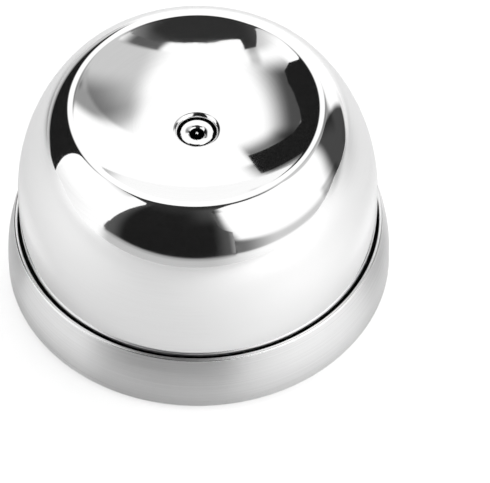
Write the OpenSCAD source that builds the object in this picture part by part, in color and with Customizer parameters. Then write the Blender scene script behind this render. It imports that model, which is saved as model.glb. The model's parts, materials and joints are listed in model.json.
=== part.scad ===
// Egg piercer: a polished dome with a dished top that is pressed down over a
// fixed needle. A brushed base ring carries the floor, the needle post and the
// spring that lifts the dome again.
// Millimetres, +Z up. The origin is on the axis, on the surface it stands on.

/* [Dome shell] */
// Outside diameter of the dome's skirt
dome_d = 59.7; // [54:0.5:66]
// Sheet thickness of the dome
dome_wall = 0.8; // [0.5:0.05:0.85]
// Height at which the skirt starts to curve inwards
waist_z = 18.45; // [17.5:0.5:22]
// Radius of the dome's side
side_r = 33.6; // [31:0.2:38]
// Angle of the side at which the shoulder starts
side_angle = 30.1; // [26:0.5:35]
// Radius of the shoulder
shoulder_r = 9.6; // [7:0.2:12]
// Angle of the shoulder at which the crest starts
shoulder_angle = 63.3; // [58:0.5:70]
// Radius of the crest round the dish
crest_r = 1.4; // [1:0.05:2]
// Radius of the dish that the egg sits in
dish_r = 38; // [34:0.5:50]
// Radius of the hem rolled in at the foot of the skirt
hem_r = 1.6; // [1.2:0.1:2.4]
// Radius of the needle hole in the dish
hole_r = 3.2; // [3:0.1:4]
// Radius of the lip turned down into the needle hole
lip_r = 0.9; // [0.9:0.05:1.4]
// Depth of that lip below the bottom of the dish
lip_depth = 1.8; // [1.5:0.1:2.6]

/* [Base] */
// How far the base stands out beyond the dome, all round
base_flare = 2.15; // [1.6:0.05:4]
// Sheet thickness of the base ring
ring_wall = 0.45; // [0.4:0.05:0.55]
// Height at which the base ring's mouth is cut off
ring_top = 11.2; // [10.5:0.1:13]
// Height of the straight part of the base ring's wall
ring_straight_top = 3; // [2.5:0.1:5]
// Radius of the base ring's lower edge
ring_edge_r = 0.6; // [0.6:0.1:1.8]
// Width of the flange turned in under the floor
ring_flange_w = 3.6; // [2.5:0.1:5]
// Gap between the dome and the mouth of the base ring
mouth_gap = 0.45; // [0.4:0.01:0.8]
// How far the foot ring stands out below the steel
foot_proud = 0.4; // [0.3:0.1:1]
// How far the bottom cover lies back from the steel
cover_recess = 0.15; // [0:0.05:0.4]
// How far the foot ring is let into the cover
foot_inlay = 0.9; // [0.6:0.05:1]
// Distance from the cover's edge in to the foot ring
foot_inset = 2.3; // [1.5:0.1:4]
// Width of the foot ring
foot_w = 4; // [2.5:0.25:5]
// Thickness of the bottom cover
cover_t = 1.6; // [1.4:0.1:2.4]
// Thickness of the floor's flange and walls
floor_t = 1.8; // [1.4:0.1:2.4]
// Room between the floor's screw bosses and the wall round them
boss_room = 1.2; // [0.8:0.1:2.4]
// Depth of the glide ring's top below the ring's mouth
glide_drop = 1.5; // [0.8:0.1:3]

/* [Mechanism] */
// Travel of the dome
travel = 5; // [3.5:0.25:6]
// Clearance left at the end of a movement and beside moving parts
stop_gap = 0.3; // [0.2:0.05:0.4]
// Radial clearance of sliding fits
slide_gap = 0.08; // [0.04:0.01:0.1]
// Clearance of parts that are pressed or laid together
seat_gap = 0.05; // [0.02:0.01:0.08]
// Number of guide screws, and of cover screws
screw_count = 3; // [3:1:4]
// Radius of the circle of screws
screw_circle_r = 14; // [13.5:0.25:15]
// Radius of a guide screw's shoulder
shoulder_screw_r = 1.6; // [1.4:0.05:1.9]
// Radius of a screw's threaded end
thread_r = 1.25; // [1:0.05:1.3]
// Length of thread in a boss
thread_len = 5; // [3.5:0.25:6]
// Radius of a guide screw's head
head_r = 2.8; // [2.5:0.1:3.1]
// Height of a guide screw's head
head_h = 1.6; // [1.3:0.1:2.2]
// Thickness of the nylon stop washers
stop_washer_t = 0.6; // [0.4:0.1:1]
// Radius of a countersunk cover screw's head
cover_head_r = 2.4; // [2:0.1:2.6]
// Wall of a screw boss
boss_wall = 1.7; // [1.4:0.1:1.9]

/* [Needle and post] */
// Radius of the needle
needle_r = 0.5; // [0.4:0.05:0.7]
// Length of the needle's point
point_len = 2.2; // [1.5:0.1:3.5]
// Radius at the end of the point
point_r = 0.2; // [0.1:0.02:0.3]
// Depth of the needle's tip below the face of its bush
tip_recess = 0.05; // [0:0.05:0.8]
// Length of the needle inside its post
needle_grip = 9; // [6:0.5:10]
// Radius of the post that the dome slides on
post_r = 3; // [2.6:0.1:3.3]
// Chamfer at the top of the post
post_chamfer = 0.6; // [0.3:0.1:1]
// Radius of the post's flange
post_flange_r = 5; // [4.7:0.1:5.4]
// Thickness of the post's flange
post_flange_t = 0.8; // [0.6:0.1:1.2]
// Radius of the post's threaded tail
tail_r = 2; // [1.6:0.1:2.2]
// Width of the post nut across its flats
nut_af = 7; // [6:0.5:8]
// Thickness of the post nut
nut_t = 2.4; // [1.8:0.2:2.8]
// Thickness of the lock washer over the nut
lock_washer_t = 0.8; // [0.5:0.1:1]
// Width of the split in the lock washer
split_w = 0.6; // [0.4:0.1:1]
// Radius of the set screw that clamps the needle
set_screw_r = 1; // [0.8:0.05:1.2]
// How far the set screw lies inside the post's side
set_screw_recess = 0.25; // [0.1:0.05:0.5]
// Width of the set screw's slot
slot_w = 0.4; // [0.3:0.05:0.6]
// Depth of the set screw's slot
slot_depth = 0.6; // [0.4:0.05:0.8]
// Radius of the bush's face
bush_r = 2.73; // [2.4:0.05:2.8]
// Radius of the bush's bore
bush_bore_r = 1.25; // [1:0.02:1.4]
// Width of the countersink at the mouth of that bore
bush_sink_w = 0.5; // [0.2:0.05:0.7]
// Depth of the countersink
bush_sink_depth = 0.37; // [0.2:0.01:0.6]
// Depth of the bush's face below the bottom of the dish
bush_drop = 0.55; // [0.2:0.05:0.9]
// Radius of the bush's flange
bush_flange_r = 4.6; // [4.4:0.1:5.2]
// Thickness of the bush's flange
bush_flange_t = 1; // [0.8:0.1:1.4]
// Length of the bush below its flange
bush_tail = 1.1; // [0.8:0.1:1.6]
// Broken edge on turned parts
edge_break = 0.15; // [0.05:0.05:0.25]

/* [Carrier and spring] */
// Wall thickness of the moulded carrier
carrier_wall = 1.4; // [1.2:0.1:1.7]
// Thickness of the carrier's web
web_t = 1.8; // [1.4:0.1:2.2]
// Number of ribs on the carrier's web, and of the windows between them
rib_count = 6; // [3:3:9]
// Thickness of a rib
rib_t = 1.2; // [0.8:0.1:1.6]
// Height of a rib at the hub
rib_h = 6; // [3:0.5:7]
// Height of a rib at the carrier's rim
rib_end_h = 1.5; // [1:0.25:2.5]
// Radius of a window in the web
window_r = 3; // [1.5:0.25:3.5]
// Wall of the brass sleeve that runs on the post
sleeve_wall = 0.8; // [0.6:0.05:1]
// Diameter of the spring's wire
wire_d = 1; // [0.7:0.05:1.1]
// Mean diameter of the spring
spring_d = 14.2; // [13.8:0.1:14.6]
// Turns of the spring
turns = 7; // [5:0.5:8]
// Gap between the closed turns at the spring's ends
closed_gap = 0.45; // [0.42:0.01:0.6]
// Thickness of the steel seats at the spring's ends
spring_seat_t = 0.5; // [0.3:0.05:0.8]
// Thickness of the roof over the spring
roof_t = 2; // [1.5:0.1:2.5]

/* [Hidden] */
$fn = 96;
// Sides of the wide arcs of an outline, and of its small rounds
arc_fn = 480;
round_fn = 32;
// How far a cutter reaches past the face it cuts
overcut = 1;
// Sides of the spring's wire, and rings along one turn
wire_sides = 8;
turn_rings = 24;
// Parts of a cross recess, as shares of the head's radius
recess_reach = 0.55;
recess_w = 0.24;
recess_depth = 0.3;

function at(angle) = [cos(angle), sin(angle)];

// Radii of the dome
dome_r = dome_d / 2;
dome_in_r = dome_r - dome_wall;

// Heights of the base, from the surface upwards
steel_z = foot_proud;
flange_top_z = steel_z + ring_wall;
cover_z = steel_z + cover_recess;
cover_top_z = cover_z + cover_t;
floor_top_z = cover_top_z + floor_t;
plateau_under_z = cover_top_z + stop_gap + travel + head_h + stop_washer_t;
plateau_z = plateau_under_z + floor_t;

// Radii of the base
base_r = dome_r + base_flare;
ring_in_r = base_r - ring_wall;
ring_mouth_r = dome_r + mouth_gap + ring_wall;
ring_opening_r = base_r - ring_flange_w;
cover_r = ring_opening_r - 2 * seat_gap;
foot_r = cover_r - foot_inset;
boss_r = thread_r + boss_wall;
hat_r = screw_circle_r + boss_r + boss_room + floor_t;

// Arc of the ring's wall, from its straight part in to the mouth
ring_rise = ring_top - ring_straight_top;
ring_lean = base_r - ring_mouth_r;
ring_arc_r = (ring_rise * ring_rise + ring_lean * ring_lean) / (2 * ring_lean);
ring_arc_c = [base_r - ring_arc_r, ring_straight_top];
ring_arc_angle = asin(ring_rise / ring_arc_r);

// Arcs of the dome's outline, each tangent to the next
skirt_z = floor_top_z + travel + stop_gap;
hem_c = [dome_r - hem_r, skirt_z + hem_r];
side_c = [dome_r - side_r, waist_z];
shoulder_c = side_c + (side_r - shoulder_r) * at(side_angle);
crest_c = shoulder_c + (shoulder_r - crest_r) * at(shoulder_angle);
crest_angle = acos(-crest_c[0] / (dish_r + crest_r));
dish_c = [0, crest_c[1] + (dish_r + crest_r) * sin(crest_angle)];
dish_z = dish_c[1] - dish_r;
lip_angle = asin((hole_r + lip_r) / (dish_r + lip_r));
lip_c = dish_c - (dish_r + lip_r) * at(90 + lip_angle);
lip_end_z = dish_z - lip_depth;

// Heights of what hangs in the dome
bush_face_z = dish_z - bush_drop;
bush_flange_z = lip_end_z - bush_flange_t;
bush_end_z = bush_flange_z - bush_tail;
bush_seat_z = bush_flange_z - seat_gap;
spring_roof_z = bush_seat_z - roof_t;
web_z = plateau_z + travel + stop_gap;
web_top_z = web_z + web_t;
post_foot_z = plateau_z + post_flange_t;
sleeve_z = post_foot_z + travel + stop_gap;
post_top_z = bush_end_z - travel - stop_gap;
carrier_z = skirt_z + dome_wall + seat_gap;

// Radii of what hangs in the dome
carrier_r = dome_in_r - 2 * seat_gap;
carrier_in_r = carrier_r - carrier_wall;
sleeve_in_r = post_r + slide_gap;
sleeve_r = sleeve_in_r + sleeve_wall;
hub_in_r = sleeve_r + seat_gap;
hub_r = hub_in_r + carrier_wall;
spring_in_r = (spring_d - wire_d) / 2;
spring_out_r = (spring_d + wire_d) / 2;
well_r = spring_out_r + stop_gap;
well_out_r = well_r + carrier_wall;
window_circle_r = (screw_circle_r + boss_r + carrier_in_r) / 2;

// The spring between its two seats
spring_z = plateau_z + spring_seat_t + seat_gap;
spring_len = spring_roof_z - spring_seat_t - seat_gap - spring_z;
closed_pitch = wire_d + closed_gap;
open_pitch = (spring_len - wire_d - 2 * closed_pitch) / (turns - 2);

// The needle, and the angle of the cover screws between the guide screws
tip_z = bush_face_z - tip_recess;
needle_z = post_top_z - needle_grip;
cover_start = 180 / screw_count;

// Part of a disc beyond half its radius, between two angles
module sector(c, r, from, to) {
    intersection() {
        translate(c) circle(r = r, $fn = arc_fn);
        polygon([
            c + r / 2 * at(from),
            c + 2 * r * at(from),
            c + 2 * r * at((from + to) / 2),
            c + 2 * r * at(to),
            c + r / 2 * at(to)
        ]);
    }
}

// Rectangle from the axis out to a radius, between two heights
module slab(r, low, high) {
    translate([0, low]) square([r, high - low]);
}

// A round plate or tube between two heights
module tube(outer, inner, low, high) {
    translate([0, 0, low]) difference() {
        cylinder(r = outer, h = high - low);
        translate([0, 0, -overcut]) cylinder(r = inner, h = high - low + 2 * overcut);
    }
}

// Children on the screw circle, from a starting angle
module on_circle(start) {
    for (i = [0:screw_count - 1])
        rotate([0, 0, start + i * 360 / screw_count])
            translate([screw_circle_r, 0, 0])
                children();
}

// Recess for a cross-head driver, cut upwards from a screw's face
module cross_recess(r) {
    for (turn = [0, 90])
        rotate([0, 0, turn])
            translate([-r * recess_reach, -r * recess_w / 2, -overcut])
                cube([2 * r * recess_reach, r * recess_w, overcut + r * recess_depth]);
}

// Half outline of the ring's filled body, drawn in by an inset. As a cutter it reaches a few
// degrees past the mouth, and further in.
module ring_fill(inset, past) {
    edge_c = [base_r - ring_edge_r, steel_z + ring_edge_r];
    end_angle = ring_arc_angle + past;
    inside = ring_arc_c + (ring_arc_r - 2 * ring_flange_w - past) * at(end_angle);
    polygon([
        [inside[0], steel_z + inset],
        [edge_c[0], steel_z + inset],
        [base_r - inset, edge_c[1]],
        [base_r - inset, ring_straight_top],
        ring_arc_c + (ring_arc_r - inset) * at(end_angle),
        inside
    ]);
    sector(edge_c, ring_edge_r - inset, -90, 0);
    sector(ring_arc_c, ring_arc_r - inset, 0, end_angle);
}

// Brushed steel ring: a wall that leans in to a rounded mouth, with a flange turned in below
module base_ring() {
    color("lightgray") rotate_extrude() {
        difference() {
            ring_fill(0, 0);
            ring_fill(ring_wall, overcut);
            slab(ring_opening_r, 0, flange_top_z + overcut);
        }
        translate(ring_arc_c + (ring_arc_r - ring_wall / 2) * at(ring_arc_angle))
            circle(r = ring_wall / 2, $fn = round_fn);
    }
}

// Moulded floor: a flange held in the ring, a raised middle, and bosses for the cover screws
module base_floor() {
    rim_r = ring_in_r - seat_gap;
    rim_z = flange_top_z + seat_gap;
    chamfer = ring_edge_r - ring_wall + seat_gap;
    hat_in_r = hat_r - floor_t;
    hole = tail_r + seat_gap;
    color("dimgray") difference() {
        union() {
            rotate_extrude() polygon([
                [hole, plateau_under_z],
                [hat_in_r, plateau_under_z],
                [hat_in_r, cover_top_z],
                [cover_r, cover_top_z],
                [cover_r, rim_z],
                [rim_r - chamfer, rim_z],
                [rim_r, rim_z + chamfer],
                [rim_r, floor_top_z],
                [hat_r, floor_top_z],
                [hat_r, plateau_z],
                [hole, plateau_z]
            ]);
            on_circle(cover_start)
                translate([0, 0, cover_top_z])
                    cylinder(r = boss_r, h = plateau_z - cover_top_z - floor_t / 2);
        }
        on_circle(0)
            translate([0, 0, plateau_under_z - overcut])
                cylinder(r = shoulder_screw_r + slide_gap, h = floor_t + 2 * overcut);
        on_circle(cover_start)
            translate([0, 0, cover_top_z - overcut])
                cylinder(r = thread_r + seat_gap, h = thread_len + seat_gap + overcut);
    }
}

// Black ring behind the mouth of the base ring, so that the skirt slides on plastic
module glide_ring() {
    back_r = ring_arc_r - ring_wall - seat_gap;
    front_r = dome_r + stop_gap;
    color("black") rotate_extrude() intersection() {
        translate([front_r, floor_top_z])
            square([base_r - front_r, ring_top - glide_drop - floor_top_z]);
        translate(ring_arc_c) circle(r = back_r, $fn = arc_fn);
    }
}

// Moulded disc that closes the underside, with a groove for the foot ring
module bottom_cover() {
    cone_h = cover_head_r - thread_r;
    color("dimgray") difference() {
        translate([0, 0, cover_z]) cylinder(r = cover_r - seat_gap, h = cover_t);
        tube(foot_r + seat_gap, foot_r - foot_w - seat_gap, cover_z - overcut, cover_z + foot_inlay);
        on_circle(cover_start) {
            translate([0, 0, cover_z - overcut])
                cylinder(r = thread_r + seat_gap, h = cover_t + 2 * overcut);
            translate([0, 0, cover_z])
                cylinder(r1 = cover_head_r + seat_gap, r2 = thread_r + seat_gap, h = cone_h);
        }
    }
}

// Rubber ring that the piercer stands on, with its lower edges rounded
module foot_ring() {
    foot_in_r = foot_r - foot_w;
    color("#202020") rotate_extrude() {
        translate([foot_in_r, foot_proud])
            square([foot_w, cover_z + foot_inlay - foot_proud]);
        translate([foot_in_r + foot_proud, 0])
            square([foot_w - 2 * foot_proud, 2 * foot_proud]);
        for (r = [foot_in_r + foot_proud, foot_r - foot_proud])
            translate([r, foot_proud]) circle(r = foot_proud, $fn = round_fn);
    }
}

// Countersunk screws that hold the cover
module cover_screws() {
    cone_h = cover_head_r - thread_r;
    color("silver") on_circle(cover_start)
        translate([0, 0, cover_z]) difference() {
            union() {
                cylinder(r1 = cover_head_r, r2 = thread_r, h = cone_h);
                cylinder(r = thread_r, h = cover_t + thread_len);
            }
            cross_recess(cover_head_r);
        }
}

// Turned post on the floor, with a threaded tail below and a bore for the needle above
module needle_post() {
    tail_z = plateau_under_z - lock_washer_t - nut_t - stop_gap;
    color("silver") difference() {
        rotate_extrude() polygon([
            [0, tail_z],
            [tail_r - edge_break, tail_z],
            [tail_r, tail_z + edge_break],
            [tail_r, plateau_z],
            [post_flange_r, plateau_z],
            [post_flange_r, post_foot_z - edge_break],
            [post_flange_r - edge_break, post_foot_z],
            [post_r, post_foot_z],
            [post_r, post_top_z - post_chamfer],
            [post_r - post_chamfer, post_top_z],
            [0, post_top_z]
        ]);
        translate([0, 0, needle_z]) cylinder(r = needle_r + seat_gap / 2, h = needle_grip + overcut);
        at_set_screw() cylinder(r = set_screw_r + seat_gap, h = post_r + overcut);
    }
}

// Children laid along the set screw's axis, outwards from the needle
module at_set_screw() {
    translate([0, 0, needle_z + 2 * set_screw_r])
        rotate([0, 90, 0])
            children();
}

// Hardened pin with a ground, rounded point
module needle() {
    color("silver") rotate_extrude() intersection() {
        slab(needle_r, needle_z, tip_z);
        union() {
            polygon([
                [0, needle_z],
                [needle_r, needle_z],
                [needle_r, tip_z - point_len],
                [point_r, tip_z - point_r],
                [0, tip_z - point_r]
            ]);
            translate([0, tip_z - point_r]) circle(r = point_r, $fn = round_fn);
        }
    }
}

// Slotted set screw in the side of the post
module needle_set_screw() {
    start = needle_r + seat_gap;
    length = post_r - set_screw_recess - start;
    color("dimgray") at_set_screw()
        translate([0, 0, start]) difference() {
            cylinder(r = set_screw_r, h = length);
            translate([-set_screw_r - overcut, -slot_w / 2, length - slot_depth])
                cube([2 * set_screw_r + 2 * overcut, slot_w, slot_depth + overcut]);
        }
}

// Split lock washer between the nut and the floor
module post_washer() {
    low = plateau_under_z - lock_washer_t;
    color("silver") difference() {
        tube(nut_af / 2, tail_r + seat_gap, low, plateau_under_z);
        translate([0, -split_w / 2, low - overcut])
            cube([nut_af, split_w, lock_washer_t + 2 * overcut]);
    }
}

// Hexagon nut on the post's tail, with its corners turned off
module post_nut() {
    low = plateau_under_z - lock_washer_t - nut_t;
    corner_r = nut_af / 2 / cos(30);
    chamfer = corner_r - nut_af / 2;
    color("silver") translate([0, 0, low]) difference() {
        intersection() {
            cylinder(r = corner_r, h = nut_t, $fn = 6);
            cylinder(r1 = nut_af / 2, r2 = nut_af / 2 + 2 * nut_t, h = nut_t);
            cylinder(r1 = nut_af / 2 + 2 * nut_t, r2 = nut_af / 2 + chamfer / 2, h = nut_t);
        }
        translate([0, 0, -overcut]) cylinder(r = tail_r + seat_gap, h = nut_t + 2 * overcut);
    }
}

// Steel washer at an end of the spring
module spring_seat(low) {
    color("silver") tube(spring_out_r, spring_in_r, low, low + spring_seat_t);
}

module lower_spring_seat() {
    spring_seat(plateau_z);
}

module upper_spring_seat() {
    spring_seat(spring_roof_z - spring_seat_t);
}

// Rise of the spring's wire after a number of turns, with a closed turn at each end
function spring_rise(turn) =
    turn < 1 ? closed_pitch * turn
    : turn < turns - 1 ? closed_pitch + open_pitch * (turn - 1)
    : closed_pitch + open_pitch * (turns - 2) + closed_pitch * (turn - turns + 1);

// A point at a distance from the wire's middle, outwards and upwards
function wire_point(turn, out, up) = [
    (spring_d / 2 + out) * cos(360 * turn),
    (spring_d / 2 + out) * sin(360 * turn),
    spring_z + wire_d / 2 + spring_rise(turn) + up
];

// Least gap between the wire and itself, one turn on
spring_steps = turns * turn_rings;
spring_gap = min([for (i = [0:spring_steps - turn_rings])
    norm(wire_point(i / turn_rings + 1, 0, 0) - wire_point(i / turn_rings, 0, 0))]) - wire_d;
echo(spring_gap = spring_gap);

// Compression spring, one unbroken tube
module return_spring() {
    points = [for (i = [0:spring_steps]) for (k = [0:wire_sides - 1])
        let (around = 360 * k / wire_sides)
        wire_point(i / turn_rings, wire_d / 2 * cos(around), wire_d / 2 * sin(around))];
    walls = [for (i = [0:spring_steps - 1]) for (k = [0:wire_sides - 1])
        let (a = i * wire_sides + k, b = i * wire_sides + (k + 1) % wire_sides)
        each [[a, b, b + wire_sides], [a, b + wire_sides, a + wire_sides]]];
    last = spring_steps * wire_sides;
    ends = [for (k = [1:wire_sides - 2])
        each [[0, k + 1, k], [last, last + k, last + k + 1]]];
    color("silver") polyhedron(points, concat(walls, ends));
}

// Half outline of the dome's filled body, drawn in by an inset
module dome_fill(inset) {
    difference() {
        union() {
            polygon([
                [0, skirt_z + inset],
                [hem_c[0], skirt_z + inset],
                [dome_r - inset, hem_c[1]],
                [dome_r - inset, waist_z],
                side_c + (side_r - inset) * at(side_angle),
                shoulder_c + (shoulder_r - inset) * at(shoulder_angle),
                crest_c + (crest_r - inset) * at(crest_angle),
                [0, crest_c[1]]
            ]);
            sector(hem_c, hem_r - inset, -90, 0);
            sector(side_c, side_r - inset, 0, side_angle);
            sector(shoulder_c, shoulder_r - inset, side_angle, shoulder_angle);
            sector(crest_c, crest_r - inset, shoulder_angle, crest_angle);
        }
        translate(dish_c) circle(r = dish_r + inset, $fn = arc_fn);
        lip_fill(inset);
    }
}

// Half outline of the needle hole, with the round of the lip at its mouth
module lip_fill(inset) {
    above = lip_c + 2 * lip_r * at(90 + lip_angle);
    difference() {
        polygon([
            [0, skirt_z],
            [hole_r + inset, skirt_z],
            [hole_r + inset, lip_c[1]],
            lip_c,
            above,
            [0, above[1]]
        ]);
        translate(lip_c) circle(r = lip_r - inset, $fn = round_fn);
    }
}

// Polished shell: rolled hem, skirt, side, shoulder, crest, dish and the lip round the needle hole
module dome_shell() {
    color("silver") rotate_extrude() difference() {
        dome_fill(0);
        dome_fill(dome_wall);
        slab(hem_c[0], skirt_z - overcut, skirt_z + hem_r);
        slab(hole_r + 2 * dome_wall, skirt_z - overcut, lip_end_z);
    }
}

// Turned bush whose face shows in the dish, held down by the shell's lip
module needle_bush() {
    color("silver") rotate_extrude() polygon([
        [bush_bore_r, bush_end_z],
        [post_r, bush_end_z],
        [post_r, bush_flange_z],
        [bush_flange_r, bush_flange_z],
        [bush_flange_r, lip_end_z],
        [bush_r, lip_end_z],
        [bush_r, bush_face_z - edge_break],
        [bush_r - edge_break, bush_face_z],
        [bush_bore_r + bush_sink_w, bush_face_z],
        [bush_bore_r, bush_face_z - bush_sink_depth]
    ]);
}

// Moulded carrier: hub with a well for the spring, ribbed web, screw bosses and a rim on the hem
module dome_carrier() {
    chamfer = hem_r - dome_wall + seat_gap;
    pocket_r = bush_flange_r + seat_gap;
    pocket_top_z = lip_end_z - seat_gap;
    color("dimgray") difference() {
        union() {
            rotate_extrude() polygon([
                [hub_in_r, sleeve_z],
                [hub_r, sleeve_z],
                [hub_r, spring_roof_z],
                [well_r, spring_roof_z],
                [well_r, web_z],
                [carrier_in_r, web_z],
                [carrier_in_r, carrier_z],
                [carrier_r - chamfer, carrier_z],
                [carrier_r, carrier_z + chamfer],
                [carrier_r, web_top_z],
                [well_out_r, web_top_z],
                [well_out_r, bush_seat_z],
                [pocket_r + carrier_wall, pocket_top_z],
                [pocket_r, pocket_top_z],
                [pocket_r, bush_seat_z],
                [hub_in_r, bush_seat_z]
            ]);
            on_circle(0)
                translate([0, 0, web_z])
                    cylinder(r = boss_r, h = thread_len + web_t);
            carrier_ribs();
        }
        on_circle(0)
            translate([0, 0, web_z - overcut])
                cylinder(r = thread_r + seat_gap, h = thread_len + seat_gap + overcut);
        for (i = [0:rib_count - 1])
            rotate([0, 0, i * 360 / rib_count])
                translate([window_circle_r, 0, web_z - overcut])
                    cylinder(r = window_r, h = web_t + 2 * overcut);
    }
}

// Radial ribs on the web, which fall from the hub to the rim
module carrier_ribs() {
    start_r = well_r + carrier_wall / 2;
    end_r = carrier_r - carrier_wall / 2;
    low = web_top_z - web_t / 2;
    for (i = [0:rib_count - 1])
        rotate([0, 0, (i + 0.5) * 360 / rib_count])
            translate([0, rib_t / 2, 0])
                rotate([90, 0, 0])
                    linear_extrude(rib_t) polygon([
                        [start_r, low],
                        [end_r, low],
                        [end_r, web_top_z + rib_end_h],
                        [start_r, web_top_z + rib_h]
                    ]);
}

// Brass sleeve in the hub, which runs on the post
module guide_sleeve() {
    color("goldenrod") tube(sleeve_r, sleeve_in_r, sleeve_z, bush_end_z);
}

// Shoulder screws that guide the carrier and stop it
module guide_screws() {
    head_z = plateau_under_z - stop_washer_t - head_h;
    color("silver") on_circle(0)
        translate([0, 0, head_z]) difference() {
            union() {
                cylinder(r = head_r, h = head_h);
                cylinder(r = shoulder_screw_r, h = web_z - head_z);
                cylinder(r = thread_r, h = web_z + thread_len - head_z);
            }
            cross_recess(head_r);
        }
}

// Nylon washers between the screws' heads and the floor
module stop_washers() {
    color("white") on_circle(0)
        tube(head_r, shoulder_screw_r + seat_gap, plateau_under_z - stop_washer_t, plateau_under_z);
}

base_ring();
base_floor();
glide_ring();
bottom_cover();
foot_ring();
cover_screws();
needle_post();
needle();
needle_set_screw();
post_washer();
post_nut();
lower_spring_seat();
return_spring();
dome_shell();
needle_bush();
dome_carrier();
guide_sleeve();
upper_spring_seat();
guide_screws();
stop_washers();
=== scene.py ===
"""Looks of the egg piercer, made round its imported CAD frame: metres, +Z up, the axis on Z."""
import json
import math

import bmesh
import bpy
from mathutils import Matrix, Vector


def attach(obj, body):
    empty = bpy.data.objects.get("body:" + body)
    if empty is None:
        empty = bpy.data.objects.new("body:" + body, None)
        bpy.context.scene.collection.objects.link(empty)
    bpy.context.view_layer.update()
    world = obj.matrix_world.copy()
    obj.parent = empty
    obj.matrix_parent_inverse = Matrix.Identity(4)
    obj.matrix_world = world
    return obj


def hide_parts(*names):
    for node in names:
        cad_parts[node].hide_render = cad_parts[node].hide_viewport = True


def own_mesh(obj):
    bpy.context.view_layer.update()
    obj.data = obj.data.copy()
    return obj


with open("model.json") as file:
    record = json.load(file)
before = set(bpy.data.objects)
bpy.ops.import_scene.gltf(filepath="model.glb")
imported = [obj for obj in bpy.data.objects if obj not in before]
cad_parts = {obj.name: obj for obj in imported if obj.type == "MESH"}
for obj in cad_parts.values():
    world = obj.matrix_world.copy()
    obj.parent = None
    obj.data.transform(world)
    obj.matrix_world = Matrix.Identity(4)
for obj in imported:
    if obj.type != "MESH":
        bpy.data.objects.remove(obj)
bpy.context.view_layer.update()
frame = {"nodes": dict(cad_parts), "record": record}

MM = 0.001
# Faces round the axis
TURN_SEGMENTS = 256
BUSH_SEGMENTS = 96
NEEDLE_SEGMENTS = 48
# Faces round the spring's wire, and along each turn of it
WIRE_SIDES = 12
WIRE_RINGS = 48
# How much longer the steps are on the side of the dome's sheet that nothing shows
HIDDEN_COARSE = 3
SHARP_ANGLE = 40

# Sizes of the solids: lengths in mm, angles in degrees
DOME_R = 29.85
DOME_WALL = 0.8
SKIRT_Z = 9.25
HEM_R = 1.6
WAIST_Z = 18.45
SIDE_R = 33.6
SIDE_ANGLE = 30.1
SHOULDER_R = 9.6
SHOULDER_ANGLE = 63.3
CREST_R = 1.4
DISH_R = 38.0
HOLE_R = 3.2
LIP_R = 0.9
LIP_DEPTH = 1.8
BASE_R = 32.0
STEEL_Z = 0.4
RING_WALL = 0.45
RING_TOP = 11.2
RING_STRAIGHT_TOP = 3.0
RING_EDGE_R = 0.6
RING_FLANGE_W = 3.6
RING_MOUTH_R = 30.75
BUSH_R = 2.73
BUSH_BORE_R = 1.25
BUSH_SINK_W = 0.5
BUSH_SINK_DEPTH = 0.37
BUSH_DROP = 0.55
BUSH_FLANGE_R = 4.6
BUSH_FLANGE_T = 1.0
BUSH_TAIL = 1.1
BUSH_TAIL_R = 3.0
NEEDLE_R = 0.5
NEEDLE_POINT_LEN = 2.2
NEEDLE_RECESS = 0.05
NEEDLE_FOOT_Z = 15.137
SPRING_Z = 12.0
SPRING_LEN = 15.937
SPRING_D = 14.2
WIRE_D = 1.0
SPRING_TURNS = 7
CLOSED_PITCH = 1.45

# The ring's rim, which is rounder than the solid's and closer to the dome, in mm
RIM_TOP_Z = 11.16
RIM_GAP = 0.36
RIM_EDGE_R = 0.38
RIM_INNER_EDGE_R = 0.07
RIM_DEPTH = 0.9
RIM_SLOPE_H = 0.36
# The bush's outer edge, sharper than the solid's, and the end of the needle's point, which is blunter
EDGE_BREAK = 0.1
NEEDLE_POINT_R = 0.28


def at(angle):
    """Unit vector at an angle in degrees, in the half plane of radius and height."""
    return Vector((math.cos(math.radians(angle)), math.sin(math.radians(angle))))


def arc(centre, radius, start, end, step=1.0):
    """Points of an arc from one angle to another, a step in degrees apart at most."""
    count = max(1, math.ceil(abs(end - start) / step))
    return [centre + radius * at(start + (end - start) * i / count) for i in range(count + 1)]


def line(start, end, step):
    """Points of a straight stretch, a step in mm apart at most, its first end left out."""
    start, end = Vector(start), Vector(end)
    count = max(1, math.ceil((end - start).length / step))
    return [start.lerp(end, (i + 1) / count) for i in range(count)]


# Arcs of the dome's outline, each tangent to the next
hem_c = Vector((DOME_R - HEM_R, SKIRT_Z + HEM_R))
side_c = Vector((DOME_R - SIDE_R, WAIST_Z))
shoulder_c = side_c + (SIDE_R - SHOULDER_R) * at(SIDE_ANGLE)
crest_c = shoulder_c + (SHOULDER_R - CREST_R) * at(SHOULDER_ANGLE)
crest_angle = math.degrees(math.acos(-crest_c.x / (DISH_R + CREST_R)))
dish_c = Vector((0, crest_c.y + (DISH_R + CREST_R) * math.sin(math.radians(crest_angle))))
dish_z = dish_c.y - DISH_R
lip_angle = math.degrees(math.asin((HOLE_R + LIP_R) / (DISH_R + LIP_R)))
lip_c = dish_c - (DISH_R + LIP_R) * at(90 + lip_angle)
lip_end_z = dish_z - LIP_DEPTH
bush_face_z = dish_z - BUSH_DROP


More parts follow.
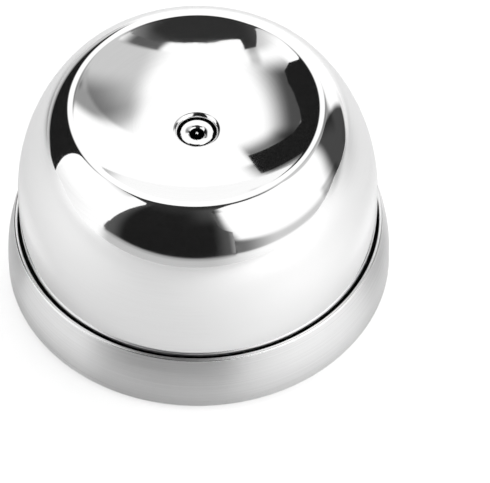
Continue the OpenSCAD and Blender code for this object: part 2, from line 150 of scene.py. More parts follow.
def dome_face(inset, coarse=1):
    """One face of the dome's sheet, from its hem to the lip in the dish."""
    face = arc(hem_c, HEM_R - inset, -90, 0, step=5 * coarse)
    face += line((DOME_R - inset, hem_c.y), (DOME_R - inset, WAIST_Z), step=0.5 * coarse)
    face += arc(side_c, SIDE_R - inset, 0, SIDE_ANGLE, step=0.5 * coarse)
    face += arc(shoulder_c, SHOULDER_R - inset, SIDE_ANGLE, SHOULDER_ANGLE, step=coarse)
    face += arc(crest_c, CREST_R - inset, SHOULDER_ANGLE, crest_angle, step=3 * coarse)
    face += arc(dish_c, DISH_R + inset, crest_angle - 180, lip_angle - 90, step=0.4 * coarse)
    face += arc(lip_c, LIP_R - inset, 90 + lip_angle, 180, step=4 * coarse)
    face += line((HOLE_R + inset, lip_c.y), (HOLE_R + inset, lip_end_z), step=0.3 * coarse)
    return face


def ring_outline():
    """The base ring's sheet, from the flange round its foot to the rounded rim and back inside."""
    foot_c = Vector((BASE_R - RING_EDGE_R, STEEL_Z + RING_EDGE_R))
    lean = BASE_R - RING_MOUTH_R
    rise = RING_TOP - RING_STRAIGHT_TOP
    radius = (rise * rise + lean * lean) / (2 * lean)
    wall_c = Vector((BASE_R - radius, RING_STRAIGHT_TOP))
    rim_rise = RIM_TOP_Z - RIM_EDGE_R - RING_STRAIGHT_TOP
    end = math.degrees(math.asin(rim_rise / (radius - RIM_EDGE_R)))
    rim_r = DOME_R + RIM_GAP
    rim_foot = RIM_TOP_Z - RIM_DEPTH
    inner_rise = rim_foot - RIM_SLOPE_H - RING_STRAIGHT_TOP
    inner_end = math.degrees(math.asin(inner_rise / (radius - RING_WALL)))
    inner_edge_c = Vector((rim_r, RIM_TOP_Z)) + RIM_INNER_EDGE_R * Vector((1, -1))
    flange_r = BASE_R - RING_FLANGE_W
    outline = [Vector((flange_r, STEEL_Z + RING_WALL)), Vector((flange_r, STEEL_Z))]
    outline += arc(foot_c, RING_EDGE_R, -90, 0, step=9)
    outline += arc(wall_c, radius, 0, end, step=0.5)
    outline += arc(wall_c + (radius - RIM_EDGE_R) * at(end), RIM_EDGE_R, end, 90, step=6)
    outline += arc(inner_edge_c, RIM_INNER_EDGE_R, 90, 180, step=30)
    outline += [Vector((rim_r, rim_foot))]
    outline += arc(wall_c, radius - RING_WALL, inner_end, 0)
    outline += arc(foot_c, RING_EDGE_R - RING_WALL, 0, -90, step=15)
    return outline


def bush_outline():
    """The turned bush, from its bore out over its tail and flange, and up to its face."""
    flange_z = lip_end_z - BUSH_FLANGE_T
    end_z = flange_z - BUSH_TAIL
    return [Vector(p) for p in (
        (BUSH_BORE_R, end_z),
        (BUSH_TAIL_R, end_z),
        (BUSH_TAIL_R, flange_z),
        (BUSH_FLANGE_R, flange_z),
        (BUSH_FLANGE_R, lip_end_z),
        (BUSH_R, lip_end_z),
        (BUSH_R, bush_face_z - EDGE_BREAK),
        (BUSH_R - EDGE_BREAK, bush_face_z),
        (BUSH_BORE_R + BUSH_SINK_W, bush_face_z),
        (BUSH_BORE_R, bush_face_z - BUSH_SINK_DEPTH),
    )]


def needle_outline():
    """The pin, from its foot up to the round end of its ground point."""
    tip_z = bush_face_z - NEEDLE_RECESS
    point_c = Vector((0, tip_z - NEEDLE_POINT_R))
    outline = [Vector((0, NEEDLE_FOOT_Z)), Vector((NEEDLE_R, NEEDLE_FOOT_Z))]
    outline += [Vector((NEEDLE_R, tip_z - NEEDLE_POINT_LEN))]
    return outline + arc(point_c, NEEDLE_POINT_R, 0, 90, step=9)


def mesh_of(name, bm):
    """The mesh that a bmesh holds; the bmesh is then freed."""
    mesh = bpy.data.meshes.new(name)
    bm.to_mesh(mesh)
    bm.free()
    return mesh


def piece(name, bm):
    """Puts a closed form in the scene, shaded smooth apart from its sharp edges."""
    bmesh.ops.recalc_face_normals(bm, faces=bm.faces)
    mesh = mesh_of(name, bm)
    mesh.shade_smooth()
    mesh.set_sharp_from_angle(angle=math.radians(SHARP_ANGLE))
    obj = bpy.data.objects.new(name, mesh)
    bpy.context.scene.collection.objects.link(obj)
    return obj


def turned(name, outline, closed, segments=TURN_SEGMENTS):
    """A piece turned about Z. A closed outline makes a ring, an open one starts and ends on the axis."""
    near = 1e-3
    points = [p for i, p in enumerate(outline) if i == 0 or (p - outline[i - 1]).length > near]
    angles = [2 * math.pi * i / segments for i in range(segments)]
    bm = bmesh.new()
    rows = []
    for r, z in points:
        around = angles if r > near else [0]
        places = [(r * MM * math.cos(a), r * MM * math.sin(a), z * MM) for a in around]
        rows.append([bm.verts.new(place) for place in places])
    following = rows[1:] + rows[:1] if closed else rows[1:]
    for low, high in zip(rows, following):
        for i in range(segments):
            j = (i + 1) % segments
            corners = [low[i % len(low)], low[j % len(low)], high[j % len(high)], high[i % len(high)]]
            bm.faces.new(list(dict.fromkeys(corners)))
    return piece(name, bm)


def spring(name):
    """The return spring as one tube of round wire, with a closed turn at each end."""
    open_pitch = (SPRING_LEN - WIRE_D - 2 * CLOSED_PITCH) / (SPRING_TURNS - 2)
    bm = bmesh.new()
    rings = []
    for i in range(SPRING_TURNS * WIRE_RINGS + 1):
        turn = i / WIRE_RINGS
        opened = min(max(turn - 1, 0), SPRING_TURNS - 2)
        height = SPRING_Z + WIRE_D / 2 + (turn - opened) * CLOSED_PITCH + opened * open_pitch
        angle = 2 * math.pi * turn
        ring = []
        for k in range(WIRE_SIDES):
            out = SPRING_D / 2 + WIRE_D / 2 * math.cos(2 * math.pi * k / WIRE_SIDES)
            up = height + WIRE_D / 2 * math.sin(2 * math.pi * k / WIRE_SIDES)
            ring.append(bm.verts.new((out * MM * math.cos(angle), out * MM * math.sin(angle), up * MM)))
        rings.append(ring)
    for low, high in zip(rings, rings[1:]):
        for k in range(WIRE_SIDES):
            j = (k + 1) % WIRE_SIDES
            bm.faces.new((low[k], low[j], high[j], high[k]))
    bm.faces.new(rings[0])
    bm.faces.new(rings[-1])
    return piece(name, bm)


def put(tree, socket, value):
    """Links a socket, or sets a plain value."""
    if isinstance(value, bpy.types.NodeSocket):
        tree.links.new(value, socket)
    else:
        socket.default_value = value


def calc(tree, operation, *values):
    """The result of a math node."""
    node = tree.nodes.new("ShaderNodeMath")
    node.operation = operation
    for socket, value in zip(node.inputs, values):
        put(tree, socket, value)
    return node.outputs[0]


def ramp(tree, value, low, high, out_low=0.0, out_high=1.0):
    """A smooth step from one value to another."""
    node = tree.nodes.new("ShaderNodeMapRange")
    node.interpolation_type = "SMOOTHSTEP"
    for name, v in (("Value", value), ("From Min", low), ("From Max", high),
                    ("To Min", out_low), ("To Max", out_high)):
        put(tree, node.inputs[name], v)
    return node.outputs["Result"]


# Most of a noise lies between these values
NOISE_LOW = 0.3
NOISE_HIGH = 0.7


def spread(tree, value, out_low=0.0, out_high=1.0):
    """Noise, spread over a range of values."""
    return ramp(tree, value, NOISE_LOW, NOISE_HIGH, out_low, out_high)


def mixed(tree, factor, first, second):
    """A colour between two others."""
    node = tree.nodes.new("ShaderNodeMix")
    node.data_type = "RGBA"
    put(tree, node.inputs["Factor"], factor)
    for name, value in (("A", first), ("B", second)):
        socket = [s for s in node.inputs if s.name == name and s.type == "RGBA"][0]
        put(tree, socket, value)
    return [s for s in node.outputs if s.type == "RGBA"][0]


def grey(value):
    """An opaque grey."""
    return (value, value, value, 1)


def noise(tree, scale, detail=3.0, roughness=0.5):
    """Even noise on the piece; scale is in features a metre."""
    place = tree.nodes.new("ShaderNodeTexCoord")
    node = tree.nodes.new("ShaderNodeTexNoise")
    tree.links.new(place.outputs["Object"], node.inputs["Vector"])
    node.inputs["Scale"].default_value = scale
    node.inputs["Detail"].default_value = detail
    node.inputs["Roughness"].default_value = roughness
    return node.outputs["Fac"]


def place_on(tree):
    """X, Y and Z of a point on an object."""
    place = tree.nodes.new("ShaderNodeTexCoord")
    split = tree.nodes.new("ShaderNodeSeparateXYZ")
    tree.links.new(place.outputs["Object"], split.inputs[0])
    return split.outputs


def span(tree, x, y):
    """Length of a flat vector."""
    squares = [calc(tree, "MULTIPLY", side, side) for side in (x, y)]
    return calc(tree, "SQRT", calc(tree, "ADD", *squares))


def turned_lines(tree, around, across, detail=2.0):
    """Noise drawn out round the axis, as turning leaves it, with features a metre along and across it."""
    x, y, z = place_on(tree)
    node = tree.nodes.new("ShaderNodeTexNoise")
    node.noise_dimensions = "4D"
    stretched = tree.nodes.new("ShaderNodeCombineXYZ")
    for socket, value, scale in zip(stretched.inputs, (x, y, z), (around, around, across)):
        tree.links.new(calc(tree, "MULTIPLY", value, scale), socket)
    tree.links.new(stretched.outputs[0], node.inputs["Vector"])
    tree.links.new(calc(tree, "MULTIPLY", span(tree, x, y), across), node.inputs["W"])
    node.inputs["Scale"].default_value = 1.0
    node.inputs["Detail"].default_value = detail
    return node.outputs["Fac"]


def bump(tree, height, depth):
    """The normal of a surface with marks of a depth in metres."""
    node = tree.nodes.new("ShaderNodeBump")
    node.inputs["Strength"].default_value = 1.0
    node.inputs["Distance"].default_value = depth
    tree.links.new(height, node.inputs["Height"])
    return node.outputs["Normal"]


def new_material(name, metallic):
    """A material with its nodes and its shader."""
    mat = bpy.data.materials.new(name)
    mat.use_nodes = True
    shader = mat.node_tree.nodes["Principled BSDF"]
    shader.inputs["Metallic"].default_value = metallic
    return mat, mat.node_tree, shader


QUARTER_TURN = 0.25


def round_tangent(tree, shader, anisotropy):
    """Draws highlights out across marks that run round the axis."""
    tangent = tree.nodes.new("ShaderNodeTangent")
    tangent.direction_type = "RADIAL"
    tangent.axis = "Z"
    tree.links.new(tangent.outputs[0], shader.inputs["Tangent"])
    shader.inputs["Anisotropic"].default_value = anisotropy
    shader.inputs["Anisotropic Rotation"].default_value = QUARTER_TURN


# Painted shade, dark and rough, where shade falls in the gaps round the bush, in its bore and in the
# ring's mouth, and how softly it ends inwards, outwards and upwards round the bush, in mm
PAINTED_SHADE_TONE = 0.02
PAINTED_SHADE_ROUGH = 0.5
PAINTED_SHADE_SOFT_IN = 0.02
PAINTED_SHADE_SOFT_OUT = 0.1
PAINTED_SHADE_SOFT_UP = 0.3
# Inner radius, outer radius and top of the painted shade round the bush, and of that in its bore
PAINTED_SHADE_PLACES = (
    (BUSH_R - 0.03, HOLE_R + 0.15, bush_face_z - 0.1),
    (NEEDLE_R + 0.1, BUSH_BORE_R + 0.05, bush_face_z - BUSH_SINK_DEPTH),
)
# Depths below the rim's top between which painted shade darkens the ring's mouth, in mm
RIM_DARK_FROM = 0.25
RIM_DARK_FULL = 0.75
# Width of the rim's satin top, and of the stretch over which it turns to the glossier round, in mm
RIM_SATIN_W = 0.18
RIM_TURN_W = 0.15
RIM_SATIN_ROUGH = 0.4
RIM_ROUND_ROUGH = 0.23
# How much rougher the brushed ring is at its top than at its foot
RING_TOP_ROUGHER = 0.12


def painted_crevice_shade(tree):
    """Where shade is painted dark on the polished pieces: in the gap round the bush and in its bore."""
    x, y, z = place_on(tree)
    r = span(tree, x, y)
    total = 0.0
    for inner, outer, top in PAINTED_SHADE_PLACES:
        inside = ramp(tree, r, inner * MM, (inner + PAINTED_SHADE_SOFT_IN) * MM)
        within = ramp(tree, r, outer * MM, (outer + PAINTED_SHADE_SOFT_OUT) * MM, 1.0, 0.0)
        below = ramp(tree, z, (top - PAINTED_SHADE_SOFT_UP) * MM, top * MM, 1.0, 0.0)
        inside = calc(tree, "MULTIPLY", calc(tree, "MULTIPLY", inside, within), below)
        total = calc(tree, "ADD", inside, total)
    return total


def polished_steel():
    """Mirror polish with faint rings from the polishing wheel, a few cloudy spots, and shade painted dark
    into the gap round the bush and its bore.
    """
    mat, tree, shader = new_material("polished_steel", metallic=1.0)
    rings = turned_lines(tree, around=120, across=5000)
    cloud = noise(tree, scale=90)
    painted_shade = painted_crevice_shade(tree)
    steel = mixed(tree, spread(tree, rings), grey(0.92), grey(0.94))
    # Shade painted dark into the gap round the bush and into its bore
    put(tree, shader.inputs["Base Color"], mixed(tree, painted_shade, steel, grey(PAINTED_SHADE_TONE)))
    ring_rough = ramp(tree, rings, 0.35, 0.75, out_low=0.03, out_high=0.05)
    cloud_rough = ramp(tree, cloud, 0.4, 0.8, out_low=0.0, out_high=0.03)
    rough = calc(tree, "ADD", ring_rough, cloud_rough)
    put(tree, shader.inputs["Roughness"], calc(tree, "MULTIPLY_ADD", painted_shade, PAINTED_SHADE_ROUGH, rough))
    put(tree, shader.inputs["Normal"], bump(tree, rings, depth=0.0000003))
    round_tangent(tree, shader, anisotropy=0.3)
    return mat


def brushed_ring():
    """Steel brushed round the axis: long scratches, coarser towards the rim, draw its reflections out."""
    mat, tree, shader = new_material("brushed_ring", metallic=1.0)
    fine = turned_lines(tree, around=60, across=9000, detail=4.0)
    broad = turned_lines(tree, around=30, across=4000)
    halves = [calc(tree, "MULTIPLY", lines, 0.5) for lines in (fine, broad)]
    tone = calc(tree, "ADD", *halves)
    put(tree, shader.inputs["Base Color"], mixed(tree, spread(tree, tone), grey(0.9), grey(1)))
    coarse = ramp(tree, place_on(tree)[2], 0, RING_TOP * MM)
    rough = spread(tree, fine, out_low=0.26, out_high=0.34)
    put(tree, shader.inputs["Roughness"], calc(tree, "MULTIPLY_ADD", coarse, RING_TOP_ROUGHER, rough))
    put(tree, shader.inputs["Normal"], bump(tree, calc(tree, "MULTIPLY", tone, coarse), depth=0.000009))
    round_tangent(tree, shader, anisotropy=1.0)
    return mat


def rim_steel():
    """The ring's rim: satin on top, glossier where it rounds off, and with shade painted dark into the
    mouth below.
    """
    mat, tree, shader = new_material("rim_steel", metallic=1.0)
    grain = turned_lines(tree, around=60, across=6000, detail=4.0)
    x, y, z = place_on(tree)
    painted_mouth_shade = ramp(tree, z, (RIM_TOP_Z - RIM_DARK_FULL) * MM, (RIM_TOP_Z - RIM_DARK_FROM) * MM, 1.0, 0.0)
    steel = mixed(tree, grain, grey(0.9), grey(0.98))
    # Shade painted dark into the ring's mouth below the rim
    put(tree, shader.inputs["Base Color"], mixed(tree, painted_mouth_shade, steel, grey(PAINTED_SHADE_TONE)))
    top_r = DOME_R + RIM_GAP + RIM_SATIN_W
    r = span(tree, x, y)
    rough = ramp(tree, r, top_r * MM, (top_r + RIM_TURN_W) * MM, RIM_SATIN_ROUGH, RIM_ROUND_ROUGH)
    grain_rough = spread(tree, grain, out_low=0.0, out_high=0.1)
    put(tree, shader.inputs["Roughness"], calc(tree, "ADD", grain_rough, rough))
    put(tree, shader.inputs["Normal"], bump(tree, grain, depth=0.000002))
    return mat


def plated_steel():
    """Zinc plate: a dull shine with a fine crystalline mottle."""
    mat, tree, shader = new_material("plated_steel", metallic=1.0)
    mottle = noise(tree, scale=2500, detail=5.0, roughness=0.6)
    zinc = mixed(tree, mottle, (0.5, 0.51, 0.53, 1), (0.72, 0.72, 0.71, 1))
    put(tree, shader.inputs["Base Color"], zinc)
    put(tree, shader.inputs["Roughness"], spread(tree, mottle, out_low=0.24, out_high=0.4))
    put(tree, shader.inputs["Normal"], bump(tree, mottle, depth=0.000008))
    return mat


def moulded(name, dark, light, rough, grain_scale, grain_depth):
    """A moulded plastic or rubber with a fine grain and a cloudy wear of its gloss."""
    mat, tree, shader = new_material(name, metallic=0.0)
    grain = noise(tree, grain_scale, detail=4.0, roughness=0.6)
    wear = noise(tree, scale=140)
    put(tree, shader.inputs["Base Color"], mixed(tree, ramp(tree, wear, 0.35, 0.75), dark, light))
    put(tree, shader.inputs["Roughness"], spread(tree, wear, *rough))
    put(tree, shader.inputs["Normal"], bump(tree, grain, grain_depth))
    return mat


def brass():
    """Turned brass with tool rings."""
    mat, tree, shader = new_material("brass", metallic=1.0)
    rings = turned_lines(tree, around=60, across=6000, detail=3.0)
    metal = mixed(tree, rings, (0.62, 0.45, 0.2, 1), (0.84, 0.66, 0.34, 1))
    put(tree, shader.inputs["Base Color"], metal)
    put(tree, shader.inputs["Roughness"], spread(tree, rings, out_low=0.18, out_high=0.34))
    put(tree, shader.inputs["Normal"], bump(tree, rings, depth=0.000006))
    round_tangent(tree, shader, anisotropy=0.5)
    return mat


materials = {
    "polished_steel": polished_steel(),
    "brushed_ring": brushed_ring(),
    "plated_steel": plated_steel(),
    "black_plastic": moulded(
        "black_plastic", dark=(0.018, 0.018, 0.019, 1), light=(0.032, 0.032, 0.033, 1),
        rough=(0.42, 0.6), grain_scale=9000, grain_depth=0.00001),
    "white_nylon": moulded(
        "white_nylon", dark=(0.74, 0.74, 0.7, 1), light=(0.84, 0.84, 0.8, 1),
        rough=(0.35, 0.5), grain_scale=5000, grain_depth=0.000006),
    "black_rubber": moulded(
        "black_rubber", dark=(0.014, 0.014, 0.014, 1), light=(0.026, 0.026, 0.026, 1),
        rough=(0.7, 0.9), grain_scale=6000, grain_depth=0.00002),
    "brass": brass(),
}


def dress(obj, body, node, slot):
    """Lets a piece stand for a CAD node, in the finish of a material slot."""
    obj.data.materials.append(materials[slot])
    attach(obj, body)
    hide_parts(node)
    return obj


# How much of a face's normal points at the axis where the face counts as facing it
FACING_IN = 0.5


def finish_rim(ring):
    """Gives the ring's rim its own finish, on its top and round and on the side towards the dome, where
    shade is painted dark into the mouth.
    """
    ring.data.materials.append(rim_steel())
    for face in ring.data.polygons:
        height = face.center.z / MM
        on_top = height > RIM_TOP_Z - RIM_EDGE_R
        facing_in = face.normal.xy.dot(face.center.xy.normalized()) < -FACING_IN
        if on_top or facing_in and height > RIM_TOP_Z - 2 * RIM_DEPTH:
            face.material_index = 1


sheet = dome_face(0) + dome_face(DOME_WALL, HIDDEN_COARSE)[::-1]
dress(turned("dome_skin", sheet, True), "dome", "dome_shell", "polished_steel")
finish_rim(dress(turned("ring_skin", ring_outline(), True), "base", "base_ring", "brushed_ring"))
bush = turned("bush_turned", bush_outline(), True, BUSH_SEGMENTS)
dress(bush, "dome", "needle_bush", "polished_steel")
pin = turned("needle_pin", needle_outline(), False, NEEDLE_SEGMENTS)
dress(pin, "base", "needle", "polished_steel")
wire = dress(spring("spring_wire"), "base", "return_spring", "plated_steel")
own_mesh(wire)

# Each solid takes the finish of its slot; the pieces above show in place of five of them
for row in frame["record"]["subparts"]:
    obj = frame["nodes"][row["node"]]
    obj.data.materials.clear()
    obj.data.materials.append(materials[row["material_slot"]])


# The studio is a white tent round the object. Directions in it are in degrees, seen from its middle:
# azimuth 0 is in front and positive to the right, elevation 0 is level.
TENT_R = 0.3
TENT_SEGMENTS = 96
TENT_MIDDLE = Vector((0, 0, 0.02))
TENT_LIGHT = 1.1
# The openings lie just inside the wall. Their faces are cut so often that they follow its round.
OPENING_R = 0.297
OPENING_TONE = 0.024
OPENING_CUTS = 3
# Outlines of the two dark openings in the tent's wall
FRONT_OPENING = (
    (-57.4, 2.2), (20.9, 2.2), (20.9, 22), (15.5, 29), (13.5, 36), (12.5, 50), (12.8, 58), (13.5, 64),
    (17, 66.5), (24, 67.6), (30, 68.6), (40, 69.2), (50, 67.8), (60, 66.2), (72, 63.6), (79, 62), (75, 75),
    (60, 80.8), (45, 83.5), (20, 85), (-20, 85), (-45, 83.8), (-60, 81.1), (-70, 75.8), (-78, 70.9),
    (-93, 69.8), (-93, 65), (-78, 63.4), (-53, 62.9), (-50.5, 60), (-52.2, 35), (-54.7, 10),
)
LEFT_OPENING = (
    (-100.7, -5), (-102.2, 10), (-105.3, 25), (-109.5, 40), (-111.5, 50), (-117, 51), (-125, 47),
    (-135, 38), (-144.5, 27.5), (-150, 25.5), (-164.8, 27.7), (-166.8, 9), (-155, 8), (-130, 3.5),
    (-115, 0), (-110, -3),
)
# Soft shadows on the tent's wall: left, right, bottom and top edge, each a polynomial from its lowest
# term up, then the softness of the four edges, and how dark the shadow is. A negative one adds light.
TENT_SHADOWS = (
    # over the left opening, and under it
    ((-158,), (-111,), (128, 0.7), (-86.2, -2.848, -0.0136), (14, 18, 3, 19), 0.93),
    ((-165,), (-149,), (18,), (33.6,), (3, 7, 3, 11), 0.8),
    ((-167,), (-106,), (-14.6, -0.12), (20,), (6, 4, 7, 4), 0.9),
    ((-167,), (-106,), (-9,), (4,), (8, 6, 2, 8), 0.45),
    # the ends of the slot over the front opening
    ((-112,), (-89,), (82.9, 0.19), (87.3, 0.19), (12, 3, 3, 3), 0.42),
    ((-97,), (-68,), (59,), (68,), (12, 8, 10, 2), 0.4),
    ((65,), (89,), (81.1, -0.24), (87.4, -0.14), (2, 5, 7, 3), 0.9),
    # the right side, where the wall turns dark
    ((91.5, 0, 0.0115), (131, 0, -0.004), (-48.4, 0.385), (99, -0.5), (14, 4.5, 4, 5.5), 0.94),
    ((82,), (100,), (-9,), (6,), (5, 5, 3, 6), 0.45),
    ((113,), (136,), (-9,), (3,), (6, 8, 2, 8), 0.22),
    # over that
    ((88,), (151,), (177.75, -2.025, 0.00729), (14.4, 1.35, -0.0075), (4, 12, 3, 14), 0.43),
    ((121,), (145,), (-53, 0.6), (51,), (16, 14, 9, 30), 0.7),
    # beside the front opening, and under it
    ((10,), (25.2, -0.326, 0.0034), (8,), (67,), (3, 7, 6, 4), 0.9),
    ((10,), (21.5,), (60,), (68,), (3, 6, 4, 3), 0.55),
    ((-57,), (24,), (-9,), (1,), (10, 40, 2, 1), 0.5),
    ((-57,), (21,), (0.9,), (4,), (3, 3, 2.4, 2), 0.9),
    # along the foot of the right wall
    ((20,), (94,), (2.2, -0.02, -0.0009), (14.7, -0.27, 0.0009), (2, 8, 1.5, 3), 0.4),
    ((20,), (36,), (2.2, -0.02, -0.0009), (14.7, -0.27, 0.0009), (2, 24, 1.5, 3), 0.75),
    # and of the left wall
    ((-101,), (-78,), (-9,), (9,), (2, 44, 2, 20), 0.16),
    # a lamp behind the right wall, which lights it more
    ((40,), (82,), (18,), (55,), (24, 20, 16, 20), -0.4),
)
# Light that veils the front opening and the slot over it: between which azimuths and between which
# elevations it rises, and how far
OPENING_VEILS = (
    (-44, -53, 70, 55, 0.08),
    (8, 19, 70, 55, 0.08),
    (17.5, 21, 70, 55, 0.2),
    (-14, 14, 35, 58, 0.045),
    (-14, 14, 66, 72, -0.045),
    (-130, -100, 52, 70, 0.016),
    (56, 80, 52, 70, 0.06),
)


def curve(tree, value, terms):
    """A polynomial of a value, or a plain number."""
    total = terms[-1]
    for term in terms[-2::-1]:
        total = calc(tree, "MULTIPLY_ADD", total, value, term)
    return total


def shade(tree, az, el, left, right, bottom, top, soft, dark):
    """What a soft shadow leaves of the light in a direction."""
    inside = dark
    edges = ((left, az, el, 1), (right, az, el, -1), (bottom, el, az, 1), (top, el, az, -1))
    for (terms, along, other, sign), width in zip(edges, soft):
        reach = calc(tree, "MULTIPLY", calc(tree, "SUBTRACT", along, curve(tree, other, terms)), sign)
        inside = calc(tree, "MULTIPLY", ramp(tree, reach, -width / 2, width / 2), inside)
    return calc(tree, "SUBTRACT", 1.0, inside)


def directions(tree, radius):
    """Azimuth and elevation of a place on a sphere round the tent's middle."""
    x, y, z = place_on(tree)
    az = calc(tree, "ARCTAN2", x, calc(tree, "MULTIPLY", y, -1))
    el = calc(tree, "ARCSINE", calc(tree, "DIVIDE", z, radius))
    return calc(tree, "DEGREES", az), calc(tree, "DEGREES", el)


def stage_material(name):
    """A bare material and the socket that its surface goes into."""
    mat = bpy.data.materials.new(name)
    mat.use_nodes = True
    mat.node_tree.nodes.clear()
    output = mat.node_tree.nodes.new("ShaderNodeOutputMaterial")
    return mat, mat.node_tree, output.inputs["Surface"]


def matt(tree, tone):
    """A matt grey surface."""
    diffuse = tree.nodes.new("ShaderNodeBsdfDiffuse")
    diffuse.inputs["Color"].default_value = grey(tone)
    return diffuse.outputs[0]


def glow(tree, light):
    """A surface that gives light."""
    emission = tree.nodes.new("ShaderNodeEmission")
    tree.links.new(light, emission.inputs["Strength"])
    return emission.outputs[0]


def matt_and_glow(tree, tone, light):
    """A matt grey surface that also gives light."""
    both = tree.nodes.new("ShaderNodeAddShader")
    tree.links.new(matt(tree, tone), both.inputs[0])
    tree.links.new(glow(tree, light), both.inputs[1])
    return both.outputs[0]


def stage_object(name, mesh, mat, seen):
    """Puts a piece of the studio in the scene, which the camera sees or not."""
    mesh.materials.append(mat)
    obj = bpy.data.objects.new(name, mesh)
    bpy.context.scene.collection.objects.link(obj)
    obj.visible_camera = seen
    return obj


def on_tent(az, el, radius):
    """A point of the tent's wall, from its middle."""
    az, el = math.radians(az), math.radians(el)
    return Vector((math.sin(az) * math.cos(el), -math.cos(az) * math.cos(el), math.sin(el))) * radius


def tent_wall():
    """The tent's white wall, lit from outside, with soft shadows on it."""
    mat, tree, surface = stage_material("tent_wall")
    az, el = directions(tree, TENT_R)
    light = TENT_LIGHT
    for shadow in TENT_SHADOWS:
        light = calc(tree, "MULTIPLY", shade(tree, az, el, *shadow), light)
    tree.links.new(glow(tree, light), surface)
    bm = bmesh.new()
    bmesh.ops.create_uvsphere(bm, u_segments=TENT_SEGMENTS, v_segments=TENT_SEGMENTS // 2, radius=TENT_R)
    stage_object("tent_wall", mesh_of("tent_wall", bm), mat, False).location = TENT_MIDDLE


def tent_opening(name, outline, mat):
    """A dark opening in the tent's wall, cut to an outline of directions."""
    bm = bmesh.new()
    bm.faces.new([bm.verts.new((az, el, 0)) for az, el in outline])
    bm.normal_update()
    bmesh.ops.triangulate(bm, faces=bm.faces)
    for _ in range(OPENING_CUTS):
        bmesh.ops.subdivide_edges(bm, edges=bm.edges, cuts=1, use_grid_fill=True)
    for v in bm.verts:
        v.co = on_tent(v.co.x, v.co.y, OPENING_R)
    stage_object(name, mesh_of(name, bm), mat, False).location = TENT_MIDDLE


def opening_material(name, veiled):
    """The dark beyond an opening, and the light that veils it."""
    mat, tree, surface = stage_material(name)
    if not veiled:
        tree.links.new(matt(tree, OPENING_TONE), surface)
        return mat
    az, el = directions(tree, OPENING_R)
    light = 0.0
    for left, right, low, high, more in OPENING_VEILS:
        across = ramp(tree, az, left, right, 0.0, more)
        light = calc(tree, "MULTIPLY_ADD", across, ramp(tree, el, low, high), light)
    tree.links.new(matt_and_glow(tree, OPENING_TONE, light), surface)
    return mat


def studio_light():
    """The lit tent, with its two openings; the camera itself looks in from outside it, on plain white."""
    tent_wall()
    tent_opening("front_opening", FRONT_OPENING, opening_material("front_opening", True))
    tent_opening("left_opening", LEFT_OPENING, opening_material("left_opening", False))
    world = bpy.data.worlds.new("studio")
    bpy.context.scene.world = world
    world.use_nodes = True
    world.node_tree.nodes["Background"].inputs["Color"].default_value = grey(1)


FLOOR_HALF = 3.0
FLOOR_Z = -0.00002
FLOOR_TONE = 0.8
# Light that the floor adds by itself for the camera, so that it shows white, and how that rises away
# from the object: between which distances, and how far
FLOOR_GLOW = 0.58
FLOOR_OPEN = (0.1, 0.25, 0.4)
# Light that it adds where the metal mirrors it, and how that brightens outwards and darkens inwards:
# between which distances, and how far
FLOOR_MIRRORED = 0.24
FLOOR_FAR = (0.05, 0.25, 0.12)
FLOOR_NEAR = (0.034, 0.042, -0.22)
# Brighter and darker patches of the mirrored floor: where they are, how far they reach and their light
FLOOR_PATCHES = (
    (0.1, -0.1, 0.15, 0.28),
    (0.04, -0.03, 0.05, 0.1),
    (-0.095, -0.03, 0.09, 0.12),
    (-0.036, 0.004, 0.022, 0.16),
    (0.036, 0.004, 0.022, 0.14),
    (-0.17, 0.15, 0.14, -0.35),
    (0.13, 0.06, 0.08, -0.2),
    (0.235, 0.046, 0.09, -0.5),
)


def mirrored_light(tree, x, y, from_axis):
    """Light of the floor where the metal mirrors it."""
    near, far, more = FLOOR_FAR
    light = calc(tree, "ADD", ramp(tree, from_axis, near, far, 0.0, more), FLOOR_MIRRORED)
    near, far, less = FLOOR_NEAR
    light = calc(tree, "ADD", ramp(tree, from_axis, near, far, less, 0.0), light)
    for patch_x, patch_y, reach, more in FLOOR_PATCHES:
        away = span(tree, calc(tree, "SUBTRACT", x, patch_x), calc(tree, "SUBTRACT", y, patch_y))
        light = calc(tree, "ADD", ramp(tree, away, 0, reach, more, 0.0), light)
    return calc(tree, "MAXIMUM", light, 0.0)


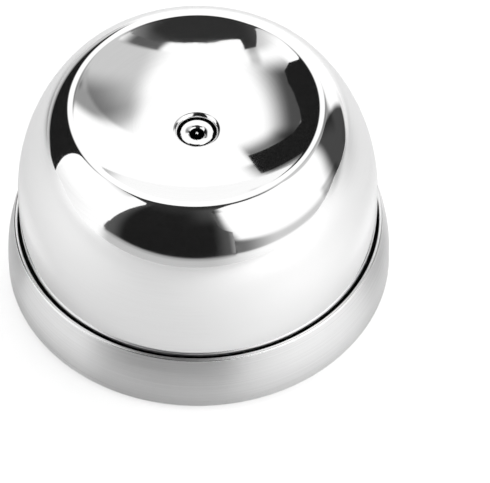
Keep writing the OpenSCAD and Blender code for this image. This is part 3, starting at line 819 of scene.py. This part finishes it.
def studio_floor():
    """Pale floor that keeps the object's shadow, white to the camera and patchy where metal mirrors it."""
    mat, tree, surface = stage_material("floor")
    x, y, _ = place_on(tree)
    from_axis = span(tree, x, y)
    mirrored = mirrored_light(tree, x, y, from_axis)
    rays = tree.nodes.new("ShaderNodeLightPath").outputs
    near, far, more = FLOOR_OPEN
    white = ramp(tree, from_axis, near, far, FLOOR_GLOW, FLOOR_GLOW + more)
    seen = calc(tree, "MULTIPLY", rays["Is Camera Ray"], white)
    light = calc(tree, "MULTIPLY_ADD", rays["Is Glossy Ray"], mirrored, seen)
    tree.links.new(matt_and_glow(tree, FLOOR_TONE, light), surface)
    mesh = bpy.data.meshes.new("floor")
    signs = ((-1, -1), (1, -1), (1, 1), (-1, 1))
    corners = [(sx * FLOOR_HALF, sy * FLOOR_HALF, FLOOR_Z) for sx, sy in signs]
    mesh.from_pydata(corners, [], [(0, 1, 2, 3)])
    stage_object("floor", mesh, mat, True)


# The camera, as fitted to the photograph, a 490 by 483 picture: lengths in mm, angles in degrees
VIEW_TARGET = Vector((0, 0, 20.5))
VIEW_DISTANCE = 1000.0
VIEW_ELEVATION = 49.95
VIEW_ROLL = 0.98
FOCAL_PIXELS = 6032.2
PICTURE_WIDTH = 490
SENSOR_WIDTH = 36.0
# In metres
NEAREST_SEEN = 0.01
# How far the target lies left of and above the picture's middle, in pixels
TARGET_LEFT = 47.3
TARGET_UP = 61.1


def studio_camera():
    """Looks at the target from the fitted distance and height, with the target beside the middle."""
    el = math.radians(VIEW_ELEVATION)
    back = Vector((0, -math.cos(el), math.sin(el)))
    level = Vector((1, 0, 0))
    upright = level.cross(-back)
    roll = math.radians(VIEW_ROLL)
    right = math.cos(roll) * level - math.sin(roll) * upright
    up = math.sin(roll) * level + math.cos(roll) * upright
    forward = (-back + right * TARGET_LEFT / FOCAL_PIXELS - up * TARGET_UP / FOCAL_PIXELS).normalized()
    right = (right - right.dot(forward) * forward).normalized()
    up = right.cross(forward)
    data = bpy.data.cameras.new("camera")
    data.sensor_width = SENSOR_WIDTH
    data.lens = FOCAL_PIXELS / PICTURE_WIDTH * SENSOR_WIDTH
    data.clip_start = NEAREST_SEEN
    camera = bpy.data.objects.new("camera", data)
    bpy.context.scene.collection.objects.link(camera)
    turn = Matrix((right, up, -forward)).transposed().to_4x4()
    camera.matrix_world = Matrix.Translation((VIEW_TARGET + VIEW_DISTANCE * back) * MM) @ turn
    bpy.context.scene.camera = camera


studio_light()
studio_floor()
studio_camera()
bpy.context.scene.view_settings.view_transform = "Standard"
